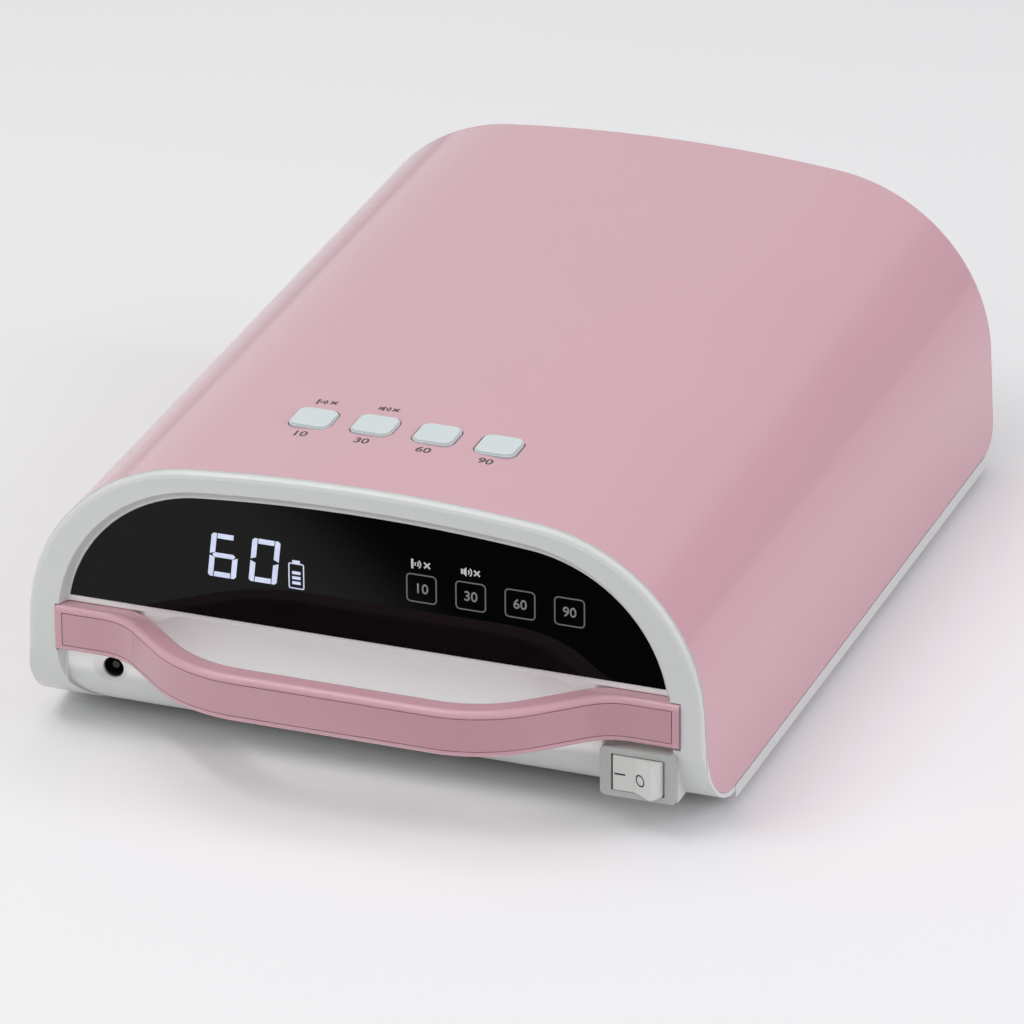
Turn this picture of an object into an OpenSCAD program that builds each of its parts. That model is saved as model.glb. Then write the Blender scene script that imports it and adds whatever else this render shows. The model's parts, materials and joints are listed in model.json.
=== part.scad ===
// Cordless nail lamp with a carrying handle, a display window and a lift-off base tray.
// Millimetres. X is to the right as seen from the display end, Y runs from the display
// end to the hand opening, Z is up. The origin is on the table, in the middle of the footprint.
// Most parts sit in the arch's own frame: x across, a along from the front face, n up.

/* [Arch] */
// Width of the arch at its front edge
body_w = 196; // [191:0.5:201]
// Height of the arch from its front edge to its crown
body_h = 75.4; // [74:0.2:78]
// Length of the body from its front face to the hand opening
body_l = 250; // [244:1:256]
// How far the sides reach below the front edge, down to the tray's underside
skirt = 10.5; // [10:0.1:11]
// Inward lean of the side walls, in degrees
wall_lean = 2.46; // [2:0.1:3]
// Radius of the two shoulders
shoulder_r = 52; // [48:0.5:54]
// Radius of the slightly domed top
crown_r = 500; // [450:10:600]
// Thickness of the outer cover
cover_t = 2.2; // [2:0.1:2.4]
// Clearance between fixed parts that nest
fit = 0.2; // [0.15:0.05:0.25]
// Clearance between parts that move against each other
run_gap = 0.3; // [0.25:0.05:0.35]

/* [Front frame] */
// Depth of the white rim in front of the cover
rim_l = 2.3; // [2.2:0.1:2.8]
// Radius of the rim's rounded front edge
rim_r = 1.8; // [1.4:0.1:2]
// Radius of the frame's rolled-under lower edge, seen from the side
corner_r = 24; // [23:0.5:25]
// Radius of the cover's lower front corner, seen from the side
cover_corner = 20; // [19:0.5:21]
// Radius of the cover's lower rear corner, seen from the side
rear_corner = 8; // [6:0.5:10]
// Depth along the arch of the rolled-under edge
lip_a = 22.6; // [22:0.1:23]
// Width of the rim beside its opening, at the foot
rim_side = 8.8; // [8.5:0.1:9.4]
// Height of the rim over its opening
rim_top = 5.8; // [5.4:0.1:6]
// Corner radius at the bottom of the recess behind the rim
recess_r = 13; // [10:0.5:15]
// Lowest level of the recess
recess_low = -5; // [-5.4:0.1:-4.4]
// Depth of the window behind the rim's face
lens_a = 3; // [2.8:0.1:3.2]
// Thickness of the display window
lens_t = 1.6; // [1.4:0.1:1.8]
// Distance from the arch's side to the display window, measured at the foot
lens_side = 10.8; // [10.6:0.1:11.6]
// Distance from the crown down to the display window
lens_drop = 9.1; // [8.9:0.1:9.6]
// Height of the display window's bottom edge
lens_low = 29.4; // [29.2:0.1:29.8]
// Shoulder radius of the display window
lens_r = 43; // [42:0.5:44]
// Depth of the plain wall under the window
wall_a = 3.4; // [3.2:0.1:3.6]
// Radius with which that wall runs out into the rolled-under edge
floor_r = 19.4; // [19:0.1:19.8]
// Thickness of the front wall
front_t = 2; // [1.8:0.1:2.2]
// Radius of the finger scoop behind the handle
scoop_r = 16; // [15:0.5:16.5]
// Distance from the handle's pads to the straight part of the finger scoop
scoop_end = 24; // [22:1:32]

/* [Handle] */
// Height of the handle band
grip_h = 13.6; // [13:0.1:14]
// Thickness of the handle band
grip_t = 7; // [6.4:0.1:7.2]
// Height of the handle's centre line above the foot
grip_n = 20.4; // [20:0.1:20.8]
// How far the handle's pads stand in front of the rim
pad_out = 0.8; // [0.6:0.1:1.2]
// How far the middle of the handle stands in front of the rim
grip_out = 24.8; // [24:0.1:27]
// Distance from the arch's side to the handle's end
grip_side = 8.4; // [8.3:0.1:8.7]
// Offset of the handle to the right of the middle
grip_shift = 0.9; // [0:0.1:1]
// Length of a pad
pad_l = 13.6; // [13.1:0.1:14.1]
// Steepest angle of the handle's bend, in degrees
bend = 42; // [40:0.5:44]
// Radius of the bend at the pads, on the front face
bend_in_r = 16; // [15:0.5:17]
// Radius of the bend at the grip, on the front face
bend_out_r = 40; // [38:0.5:41]
// Radius of the band's long edges
edge_r = 1.8; // [1.4:0.1:2]
// Width of the border round the inlay
inlay_edge = 1.9; // [1.7:0.1:2.2]
// Thickness of the inlay
inlay_t = 0.9; // [0.7:0.1:1.1]

/* [Buttons] */
// Distance from one button to the next
button_pitch = 17.8; // [17.5:0.1:18.5]
// Offset of the row of buttons from the middle
button_x = -1.5; // [-3:0.5:0]
// Distance of the row of buttons from the front face
button_a = 39.5; // [37:0.5:41]
// Width of a button cap
cap_w = 11.8; // [11.6:0.1:12.6]
// Corner radius of a button cap
cap_r = 3; // [2.5:0.1:3.5]
// Height of a button cap above the cover
cap_up = 0.7; // [0.6:0.1:1.2]
// Travel of a button
press = 0.6; // [0.4:0.1:0.6]

/* [Power switch] */
// Width of the switch flange
flange_w = 21.4; // [21:0.1:21.6]
// Height of the switch flange
flange_h = 14.4; // [14.2:0.1:14.6]
// Distance from the arch's side to the switch's centre
switch_side = 18.8; // [18.5:0.1:19]
// Height of the switch's centre
switch_n = 4.9; // [4.7:0.1:5]
// How far the flange stands in front of the rim
flange_out = 1.5; // [1.2:0.1:1.8]
// Width of the rocker
rocker_w = 14.5; // [14.2:0.1:14.6]
// Height of the rocker
rocker_h = 10.2; // [10:0.1:10.3]
// Swing of the rocker from on to off, in degrees
rock = 32; // [28:1:34]

/* [Charging socket] */
// Distance from the arch's side to the charging socket
jack_side = 23.5; // [23:0.1:24]
// Height of the charging socket
jack_n = 8; // [7.8:0.1:8.2]
// Depth of the charging socket's face behind the rim's face
jack_a = 6.4; // [6.2:0.1:6.6]
// Radius of the hole for the charging plug
jack_r = 2.8; // [2.7:0.05:2.9]
// Radius of the pin in the charging socket
jack_pin_r = 1.05; // [1:0.05:1.1]

/* [Hand tunnel] */
// Distance from the arch's side to the hand tunnel, at its foot
tunnel_side = 14; // [13.5:0.5:16]
// Distance from the crown down to the hand tunnel
tunnel_drop = 18.4; // [17.9:0.1:20.4]
// Shoulder radius of the hand tunnel
tunnel_r = 36; // [34:0.5:37]
// Thickness of the tunnel's lining
tunnel_t = 1.6; // [1.4:0.1:1.8]
// Distance from the display end to the tunnel's closed end
tunnel_a = 62; // [61:0.5:64]
// Number of lamps in a row
led_count = 6; // [4:1:7]
// Distance from the last lamp to the hand opening
led_end = 41; // [40:1:60]
// Radius of a lamp's lens
led_r = 2.6; // [2.2:0.1:2.8]

/* [Base] */
// Height of the feet
foot_h = 3; // [2.5:0.1:3.5]
// Radius of a foot
foot_r = 6; // [5:0.5:7]
// Height of the tray's rim under the cover
tray_rim = 3.8; // [3.6:0.1:4]
// Thickness of the tray's floor
tray_t = 2.2; // [2:0.1:2.4]
// Corner radius of the tray
tray_r = 9; // [6:0.5:10]

/* [Hidden] */
$fn = 72;

pink = [0.86, 0.62, 0.66];
white = [0.9, 0.9, 0.89];
black = [0.05, 0.05, 0.06];
green = [0.1, 0.35, 0.2];
steel = [0.75, 0.76, 0.78];
brass = [0.8, 0.65, 0.3];

// the handle's middle and the rear end are equally far from the origin
front_y = -(body_l - grip_out) / 2;
front_z = foot_h + skirt;
cover_z = foot_h + tray_rim + run_gap;
cover_low = cover_z - front_z;
tray_y = front_y + lip_a + 0.4;
rear_y = front_y + body_l - 0.5;
inside = cover_t + fit;
plate_a = lens_a + lens_t;
boss_a = plate_a + front_t + 2;
board_t = 1.6;

// what keeps its distance from the arch's side or crown
rim_open_w = body_w / 2 - rim_side;
rim_open_h = body_h - rim_top;
lens_w = body_w / 2 - lens_side;
lens_top = body_h - lens_drop;
grip_w = body_w / 2 - grip_side;
pad_x = grip_w - pad_l;
grip_screws = [pad_x + 3.4, grip_w - 3.6];
scoop_w = pad_x - scoop_end;
switch_x = body_w / 2 - switch_side;
jack_x = jack_side - body_w / 2;
tunnel_w = body_w / 2 - tunnel_side;
tunnel_h = body_h - tunnel_drop;
floor_screw_x = body_w / 2 - 14;
magnet_x = body_w / 2 - 9;
front_magnet_x = body_w / 2 - 28;
foot_x = body_w / 2 - 18;

// the display: its digits keep to the window's left, its four marks to the right
digit_x = 53 - lens_w;
digit_pitch = 12;
digit_n = lens_top - 18.3;
icon_x = lens_w - 70.1;
icon_pitch = 13.9;
icon_n = lens_top - 16.3;
icons_end = icon_x + 3 * icon_pitch;
display_w = lens_w - 25.2;
display_a = 12.6;

// the rolled-under lower edge, and the wall that runs out into it
frame_low = 2.3 - skirt;
corner_n = frame_low + corner_r;
run_out = 75;
floor_off = wall_a / (1 - cos(run_out));
floor_a = wall_a + floor_r;
floor_n = corner_n - floor_off * sin(run_out);

// the four buttons
button_n = [for (i = [0:3]) button_x + (i - 1.5) * button_pitch];
cap_under = body_h - cover_t - 1.7;
board_top = cap_under - 9.6;
tact_top = cap_under - 1.2 - 2.4 - press - 0.1;
button_posts = [for (x = [-38, 38], a = [-8, 8]) [button_x + x, button_a + a]];

// the control board hangs below the button board
control_n = body_h - 32.4;
control_top = control_n + board_t;
control_holes = [for (x = [-49, 49], a = [22, 55]) [x, a]];

// the rocker's pivot, and its shape about it
pivot_deep = 2;
pivot_a = pivot_deep - flange_out;
well_a = pivot_a + 7;
crease = (pivot_deep + 0.3) / cos(rock / 2);

// centre line of the handle band
mid = grip_t / 2;
pad_a = mid - pad_out;
grip_a = mid - grip_out;
in_r = bend_in_r + mid;
out_r = bend_out_r - mid;
link = (pad_a - grip_a - (in_r + out_r) * (1 - cos(bend))) / sin(bend);
grip_x = pad_x - (in_r + out_r) * sin(bend) - link * cos(bend);
pad_seat = pad_a + mid + fit;

led_first = tunnel_a + 22;
led_pitch = (body_l - led_end - led_first) / (led_count - 1);
side_lamp = 45;

// the arch's own frame
module in_arch() {
    translate([0, front_y, front_z]) children();
}

// a flat outline in x and n, carried along the arch from a0 to a1
module along(a0, a1) {
    translate([0, a1, 0]) rotate([90, 0, 0]) linear_extrude(a1 - a0) children();
}

// a side view in a and n, carried right across the arch
module across() {
    reach = body_w / 2 + 12;
    translate([-reach, 0, 0]) rotate([90, 0, 90]) linear_extrude(2 * reach) children();
}

// what lies above a level
module above(z) {
    intersection() {
        children();
        translate([-150, -250, z]) cube([300, 500, 200]);
    }
}

// centre of a shoulder: it touches the side wall and the crown
function shoulder_x(hw, n, r) = hw - n * tan(wall_lean) - r / cos(wall_lean);
function shoulder_n(h, x, r) = h - crown_r + sqrt(pow(crown_r - r, 2) - x * x);

// outline of an arch: leaning sides, round shoulders and a domed top; the shoulders stand
// a hair proud of both, so that the curves cross cleanly where they meet
module arch(hw, h, r) {
    x0 = shoulder_x(hw, h - r, r);
    n0 = shoulder_n(h, x0, r);
    cx = shoulder_x(hw, n0, r);
    cn = shoulder_n(h, cx, r);
    foot = -24;
    lean = wall_lean;
    side = [cx + r * cos(lean), cn + r * sin(lean)];
    reach = norm([cx, cn - h + crown_r]);
    top = [cx * crown_r / reach, h - crown_r + (cn - h + crown_r) * crown_r / reach];
    low_x = hw - foot * tan(lean);
    polygon([[-low_x, foot], [low_x, foot], side, top, [-top[0], top[1]], [-side[0], side[1]]]);
    for (s = [-1, 1]) {
        translate([s * cx, cn]) intersection() {
            circle(r + 0.01);
            translate([-r - 1, -cn - 10]) square([2 * r + 2, r + cn + 11]);
        }
    }
    intersection() {
        translate([0, h - crown_r]) circle(crown_r, $fn = 720);
        translate([-top[0], cn]) square([2 * top[0], h]);
    }
}

// the arch's outline moved inwards
module arch_in(d) {
    arch(body_w / 2 - d / cos(wall_lean), body_h - d, shoulder_r - d);
}

module rounded(w, h, r) {
    square([w - 2 * r, h], center = true);
    square([w, h - 2 * r], center = true);
    for (x = [-1, 1], y = [-1, 1]) translate([x * (w / 2 - r), y * (h / 2 - r)]) circle(r);
}

// a block in the arch's frame, from corner to corner
module block(x0, x1, a0, a1, n0, n1) {
    translate([x0, a0, n0]) cube([x1 - x0, a1 - a0, n1 - n0]);
}

// a rod along the arch
module rod_a(x, n, a0, a1, r) {
    translate([x, a1, n]) rotate([90, 0, 0]) cylinder(r = r, h = a1 - a0);
}

// a rod across the top plane
module rod_n(x, a, n0, n1, r) {
    translate([x, a, n0]) cylinder(r = r, h = n1 - n0);
}

// height of the domed top at a distance from the middle
function crown_at(x) = body_h - crown_r + sqrt(crown_r * crown_r - x * x);

// Cover

// side view of the cover: round lower corners at both ends
module cover_side(grow) {
    front = rim_l + cover_corner;
    rear = body_l - rear_corner;
    translate([rim_l - grow, cover_low + cover_corner]) square([rear, 100]);
    translate([front, cover_low - grow]) square([rear - front, 60]);
    translate([front, cover_low + rear_corner]) square([body_l - front, 100]);
    translate([front, cover_low + cover_corner]) circle(cover_corner + grow);
    translate([rear, cover_low + rear_corner]) circle(rear_corner);
}

module shell_cover() {
    color(pink) in_arch() {
        difference() {
            intersection() {
                along(rim_l, body_l) arch_in(0);
                across() cover_side(0);
            }
            along(rim_l - 1, body_l + 1) arch_in(cover_t);
            for (x = button_n) {
                translate([x, button_a, cap_under]) linear_extrude(30)
                    rounded(cap_w + 2 * run_gap, cap_w + 2 * run_gap, cap_r + run_gap);
            }
        }
        for (p = button_posts) hanging_post(p[0], p[1], board_top, 2.6);
        for (p = control_holes) hanging_post(p[0], p[1], control_top + fit / 2, 2.6);
        for (p = floor_holes()) hanging_post(p[0], p[1], cover_low + 2, 3.4);
    }
}

// a hollow post that hangs from the cover and takes a screw from below
module hanging_post(x, a, low, r) {
    difference() {
        intersection() {
            rod_n(x, a, low, body_h, r);
            along(rim_l, body_l) arch_in(1);
        }
        rod_n(x, a, low - 1, low + 9, r > 3 ? 1.2 : 0.9);
    }
}

// Front frame

module rim_edge() {
    steps = [[rim_r, 0], [rim_r * 0.45, rim_r * 0.17], [rim_r * 0.15, rim_r * 0.53], [0.1, rim_r + 0.3]];
    for (i = [0:2]) {
        hull() {
            along(steps[i][1], steps[i][1] + 0.01) arch_in(steps[i][0], $fn = 64);
            along(steps[i + 1][1], steps[i + 1][1] + 0.01) arch_in(steps[i + 1][0], $fn = 64);
        }
    }
}

// side view of the frame: an upright front that rolls under at the bottom
module frame_side() {
    intersection() {
        union() {
            translate([corner_r, corner_n]) circle(corner_r);
            translate([0, corner_n]) square([60, 100]);
        }
        translate([0, frame_low - 5]) square([lip_a, 150]);
    }
}

// side view of all that lies behind the recessed wall, moved in by a distance
module behind_wall(d, upper_a) {
    translate([floor_a, floor_n]) circle(floor_r - d);
    translate([upper_a, floor_n]) square([60, 120]);
    translate([floor_a, floor_n - floor_r + d]) square([60, 60]);
}

// the space inside the rim, down to the recessed wall
module recess() {
    bevel = [for (v = [lens_w, lens_top, lens_r]) v + fit + 0.5];
    difference() {
        intersection() {
            union() {
                hull() {
                    along(-0.1, 0) arch(rim_open_w, rim_open_h, 46, $fn = 64);
                    along(lens_a - 0.1, lens_a) arch(bevel[0], bevel[1], bevel[2], $fn = 64);
                }
                along(lens_a - 0.05, 14) arch(lens_w + fit, lens_top + fit, lens_r + fit);
            }
            along(-1, 14) translate([0, recess_low + 80]) rounded(2 * rim_open_w - 0.8, 160, recess_r);
        }
        across() behind_wall(0, wall_a);
        switch_pod();
    }
}

// the pod that carries the power switch in front of the recessed wall
module switch_pod() {
    block(switch_x - flange_w / 2, switch_x + flange_w / 2, 2 - flange_out, 13,
        switch_n - flange_h / 2, switch_n + flange_h / 2);
}

// the round hollow behind the handle, or its outer skin when grown
module scoop(r) {
    translate([0, wall_a - scoop_r * 0.68, 16]) {
        rotate([0, 90, 0]) cylinder(r = r, h = 2 * scoop_w, center = true);
        for (s = [-1, 1]) translate([s * scoop_w, 0, 0]) sphere(r);
    }
}

module front_bezel() {
    color(white) in_arch() {
        difference() {
            union() {
                intersection() {
                    union() {
                        rim_edge();
                        along(rim_r, lip_a) arch_in(0);
                    }
                    across() difference() {
                        frame_side();
                        behind_wall(front_t, plate_a + front_t);
                    }
                }
                switch_pod();
                rod_a(jack_x, jack_n + 1, wall_a, jack_a + 3.8, 7.4);
                scoop_skin();
                seat_backing();
            }
            cover_space();
            recess();
            lens_pocket();
            scoop_cut();
            handle_seat();
            switch_cut();
            jack_cut();
            display_windows();
            for (p = board_holes()) rod_a(p[0], p[1], plate_a - 1, plate_a + 4, 0.9);
        }
        tongue();
        for (p = board_holes()) {
            difference() {
                rod_a(p[0], p[1], plate_a + front_t - 0.1, display_a, 2.8);
                rod_a(p[0], p[1], plate_a + front_t + 0.4, display_a + 0.4, 0.9);
            }
        }
    }
}

// fixings of the display board
function board_holes() = [
    for (s = [-1, 1]) [s * (display_w - 6), lens_low + 6.8],
    for (x = [6 - display_w, digit_x + 32.2]) [x, lens_top - 10.8]
];

// where the cover's skin lies round the frame
module cover_space() {
    difference() {
        across() cover_side(0.05);
        along(0, 60) arch_in(inside);
    }
}

module lens_pocket() {
    along(lens_a - 0.1, plate_a) intersection() {
        arch(lens_w + fit, lens_top + fit, lens_r + fit);
        translate([-lens_w - 5, lens_low - fit]) square([2 * lens_w + 10, lens_top]);
    }
}

module scoop_skin() {
    intersection() {
        scoop(scoop_r + front_t);
        block(-scoop_w - 24, scoop_w + 24, plate_a, 20, 4.2, lens_low + front_t);
    }
}

module scoop_cut() {
    intersection() {
        scoop(scoop_r);
        block(-scoop_w - 24, scoop_w + 24, -20, 20, 2, lens_low - 0.8);
    }
}

// puts its child at the right end of the handle and, mirrored, at the left end
module at_pads() {
    translate([grip_shift, 0, 0]) for (s = [0, 1]) mirror([s, 0, 0]) children();
}

// the handle's pad sits in a seat that follows its bend, and is held by two screws
module handle_seat() {
    low = grip_n - grip_h / 2 - fit;
    h = grip_h + 2 * fit;
    at_pads() {
        block(pad_x - 0.1, grip_w + fit, -1, pad_seat, low, low + h);
        translate([pad_x, pad_a - in_r, low]) rotate([0, 0, 90]) rotate_extrude(angle = bend)
            translate([in_r + mid - 8, 0]) square([8 + fit, h]);
        for (k = grip_screws) rod_a(k, grip_n, 0, 12, 1.7);
    }
}

// the thick back of that seat
module seat_backing() {
    at_pads() block(pad_x - 8, grip_w + 2, plate_a, boss_a,
        grip_n - grip_h / 2 - 2, grip_n + grip_h / 2 + 1.8);
}

module switch_cut() {
    w = flange_w - 2.4;
    h = flange_h - 1.4;
    block(switch_x - w / 2, switch_x + w / 2, -10, 20, switch_n - h / 2, switch_n + h / 2);
}

// a cone that leads the plug to a hole in the frame, with the socket right behind
module jack_cut() {
    lip_front = jack_a - fit - 0.8;
    translate([jack_x, lip_front, jack_n]) rotate([90, 0, 0]) cylinder(r1 = jack_r + fit, r2 = 7.6, h = 3.4);
    rod_a(jack_x, jack_n, lip_front - 0.1, jack_a, jack_r + fit);
    rod_a(jack_x, jack_n, jack_a - fit, 14, 4.3);
}

module display_windows() {
    block(digit_x - 12.6, digit_x + 20.6, 0, 20, digit_n - 9, digit_n + 9);
    block(icon_x - 6.9, icons_end + 6.6, 0, 20, icon_n - 7.6, icon_n + 7.6);
}

// the tongue that slides into the cover
module tongue() {
    intersection() {
        along(plate_a + front_t - 0.1, 12) difference() {
            arch_in(inside);
            arch_in(inside + 1.8);
        }
        across() frame_side();
    }
}

module display_lens() {
    color(black) in_arch() along(lens_a, plate_a) intersection() {
        arch(lens_w, lens_top, lens_r);
        translate([-lens_w - 5, lens_low]) square([2 * lens_w + 10, lens_top]);
    }
}

// Handle

// cross-section of the band: u points to the back, v up; thin makes it a hair slimmer
module band_section(thin = 0) {
    difference() {
        rounded(grip_t - 2 * thin, grip_h - 2 * thin, edge_r - thin);
        translate([-grip_t / 2 - 1, inlay_edge - thin - grip_h / 2])
            square([1 + inlay_t + fit + thin, grip_h - 2 * inlay_edge + 2 * thin]);
    }
}

module inlay_section(thin = 0) {
    h = grip_h - 2 * inlay_edge - 2 * fit - 2 * thin;
    translate([-grip_t / 2 + thin, -h / 2]) square([inlay_t - 2 * thin, h]);
}

// a straight stretch along x, with the front towards -a
module straight(x0, x1, a) {
    translate([x0, a, grip_n]) rotate([90, 0, 90]) linear_extrude(x1 - x0) children();
}

// the two bends and the slope of the band's right half; the first child is the section in the
// bends, the second the slimmer one in the slope, which runs a little way into both bends
module half_band() {
    out_a = grip_a + out_r;
    lap = 0.4;
    translate([grip_x, out_a, grip_n]) rotate([0, 0, -90]) rotate_extrude(angle = bend)
        translate([out_r, 0]) mirror([1, 0]) children(0);
    translate([grip_x + out_r * sin(bend), out_a - out_r * cos(bend), grip_n]) rotate([0, 0, bend])
        rotate([90, 0, 90]) translate([0, 0, -lap]) linear_extrude(link + 2 * lap) children(1);
    translate([pad_x, pad_a - in_r, grip_n]) rotate([0, 0, 90]) rotate_extrude(angle = bend)
        translate([in_r, 0]) children(0);
}

module handle_grip() {
    color(pink) in_arch() difference() {
        union() {
            translate([grip_shift, 0, 0])
                straight(-grip_x - 0.4, grip_x + 0.4, grip_a) band_section(0.01);
            at_pads() {
                half_band() {
                    band_section();
                    band_section(0.01);
                }
                straight(pad_x - 0.4, grip_w - inlay_edge + 0.5, pad_a) band_section(0.01);
                straight(grip_w - inlay_edge, grip_w, pad_a) rounded(grip_t, grip_h, edge_r);
            }
        }
        at_pads() for (k = grip_screws) rod_a(k, grip_n, pad_a - 1, 8, 1.1);
    }
}

module handle_inlay() {
    color(pink) in_arch() {
        translate([grip_shift, 0, 0])
            straight(-grip_x - 0.4, grip_x + 0.4, grip_a) inlay_section(0.01);
        at_pads() {
            half_band() {
                inlay_section();
                inlay_section(0.01);
            }
            straight(pad_x - 0.4, grip_w - inlay_edge - fit, pad_a) inlay_section(0.01);
        }
    }
}

module handle_screws() {
    color(steel) in_arch() at_pads() for (k = grip_screws) {
        rod_a(k, grip_n, pad_a - 0.6, boss_a + 0.2, 1.05);
        rod_a(k, grip_n, boss_a + 0.1, boss_a + 2, 2.7);
    }
}

// Power switch

module switch_housing() {
    w = flange_w - 2.6;
    h = flange_h - 1.6;
    open_w = rocker_w + 2 * run_gap;
    open_h = rocker_h + 2 * run_gap;
    color(white) in_arch() translate([switch_x, 0, switch_n]) difference() {
        union() {
            along(-flange_out, 2 - flange_out) rounded(flange_w, flange_h, 1.4);
            along(1.9 - flange_out, well_a + 8) rounded(w, h, 0.6);
        }
        along(-flange_out - 1, well_a) square([open_w, open_h], center = true);
        along(well_a + 1.4, well_a + 9) square([w - 2.4, h - 2.4], center = true);
        translate([0, pivot_a, 0]) cylinder(r = 1.31, h = h - 0.8, center = true);
    }
}

// seen along the pivot, with the front up: two faces meet in a shallow crease, and both
// ends are round about the pivot, so that they sweep along the opening
module rocker_outline() {
    reach = rocker_w;
    low = -2.2;
    intersection() {
        circle(rocker_w / 2);
        polygon([[-reach, crease + reach * tan(rock / 2)], [0, crease],
            [reach, crease + reach * tan(rock / 2)], [reach, low], [-reach, low]]);
    }
}

module switch_rocker() {
    color(white) in_arch() translate([switch_x, pivot_a, switch_n]) {
        rotate([180, 0, 0]) rotate([0, 0, rock / 2]) linear_extrude(rocker_h, center = true)
            rocker_outline();
        cylinder(r = 1.25, h = flange_h - 2.6, center = true);
    }
}

module switch_terminals() {
    color(brass) in_arch() translate([switch_x, well_a + 1.4, switch_n]) {
        for (x = [-5, 0, 5]) {
            translate([x - 0.4, 0, -2.4]) cube([0.8, 12, 4.8]);
        }
        translate([-6.4, 0, -3]) cube([12.8, 0.8, 6]);
    }
}

module dc_socket() {
    color(black) in_arch() translate([jack_x, 0, jack_n]) difference() {
        union() {
            along(jack_a, jack_a + 4) circle(4.1);
            along(jack_a + 3.9, jack_a + 13.2) square([9, 9.6], center = true);
        }
        along(jack_a - 1, jack_a + 11) difference() {
            circle(jack_r);
            circle(jack_pin_r);
        }
        along(jack_a - 1, jack_a + 0.8) circle(jack_r);
    }
}

// Buttons and boards

module button(i) {
    x = button_n[i];
    top = crown_at(x) + cap_up;
    color(white) in_arch() translate([x, button_a, 0]) {
        translate([0, 0, cap_under - 0.1]) linear_extrude(top - 0.5 - cap_under + 0.1)
            rounded(cap_w, cap_w, cap_r);
        translate([0, 0, top - 0.6]) linear_extrude(0.6) rounded(cap_w - 0.8, cap_w - 0.8, cap_r - 0.4);
        translate([0, 0, cap_under - 1.2]) linear_extrude(1.2) rounded(cap_w + 3, cap_w + 3, cap_r);
        translate([0, 0, cap_under - 3.6]) cylinder(r = 2.4, h = 3);
    }
}

module button_10() {
    button(0);
}

module button_30() {
    button(1);
}

module button_60() {
    button(2);
}

module button_90() {
    button(3);
}

module button_board() {
    color(green) in_arch() difference() {
        block(button_x - 43, button_x + 43, button_a - 11, button_a + 11,
            board_top - board_t - fit / 2, board_top - fit / 2);
        for (p = button_posts) rod_n(p[0], p[1], board_top - 4, board_top + 1, 1.2);
    }
}

module tact_switches() {
    color(black) in_arch() for (x = button_n) {
        block(x - 3, x + 3, button_a - 3, button_a + 3, board_top - fit / 2, tact_top - 1.2);
        rod_n(x, button_a, tact_top - 1.3, tact_top, 1.7);
    }
}

// every board is held by the same small screw
module board_screw() {
    cylinder(r = 2, h = 1.4);
    translate([0, 0, 1.3]) cylinder(r = 0.85, h = 5);
}

module board_screws() {
    color(steel) in_arch() {
        for (p = button_posts) {
            translate([p[0], p[1], board_top - board_t - fit / 2 - 1.4]) board_screw();
        }
        for (p = control_holes) translate([p[0], p[1], control_n - 1.4]) board_screw();
        for (p = board_holes()) {
            translate([p[0], display_a + board_t + fit / 2 + 1.4, p[1]]) rotate([90, 0, 0]) board_screw();
        }
    }
}

module display_board() {
    color(green) in_arch() difference() {
        block(-display_w, display_w, display_a + fit / 2, display_a + fit / 2 + board_t,
            lens_low + 3.3, lens_top - 7);
        for (p = board_holes()) rod_a(p[0], p[1], display_a - 1, display_a + 3, 1.2);
    }
}

module digit_module() {
    color(black) in_arch() difference() {
        block(digit_x - 12.2, digit_x + 20.2, plate_a + 0.4, display_a + fit / 2,
            digit_n - 8.6, digit_n + 8.6);
        for (s = [-1, 1]) {
            x = digit_x + s * digit_pitch / 2;
            block(x - 4.6, x + 4.6, plate_a, plate_a + 0.9, digit_n - 6.6, digit_n + 7.2);
        }
    }
}

// four little light wells, one behind each mark
module icon_light_box() {
    color(white) in_arch() difference() {
        block(icon_x - 6.5, icons_end + 6.2, plate_a + 0.4, display_a + fit / 2,
            icon_n - 7.2, icon_n + 7.2);
        for (i = [0:3]) {
            x = icon_x + i * icon_pitch;
            block(x - 5.3, x + 5.3, plate_a, display_a - 0.8, icon_n - 6, icon_n + 6);
        }
    }
}

module control_board() {
    color(green) in_arch() difference() {
        block(-53, 53, 18, 59, control_n, control_top);
        for (p = control_holes) rod_n(p[0], p[1], control_n - 1, control_top + 1, 1.2);
    }
}

module power_parts() {
    top = control_top;
    color(steel) in_arch() {
        for (x = [-38, -26]) rod_n(x, 27, top, top + 13, 5);
        for (x = [-38, -22]) block(x - 6, x + 6, 40, 51, top, top + 5.6);
        block(14, 37, 32, 52, top, top + 1);
        for (i = [0:5]) block(14 + 4.4 * i, 15 + 4.4 * i, 32, 52, top + 0.9, top + 10);
        block(-9, 3, 38, 50, top, top + 2);
    }
}

module buzzer() {
    top = control_top;
    color(black) in_arch() difference() {
        rod_n(2, 27, top, top + 7, 6);
        rod_n(2, 27, top + 4, top + 8, 1);
    }
}

// Battery

cell_r = 9.2;
cell_n = 16;
cell_rows = [28, 48];
cradle_low = cell_n - cell_r - 2.2;
// the cradle stops short of the charging socket
cradle_w = -jack_x - 5.7;
cell_l = cradle_w - 3.8;
cell_x = cell_l / 2 + 1.5;
tab_x = cradle_w - 1.8;

module battery_cells() {
    color([0.2, 0.35, 0.65]) in_arch() for (a = cell_rows, s = [-1, 1]) {
        translate([s * cell_x, a, cell_n]) rotate([0, 90, 0]) cylinder(r = cell_r, h = cell_l, center = true);
    }
}

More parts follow.
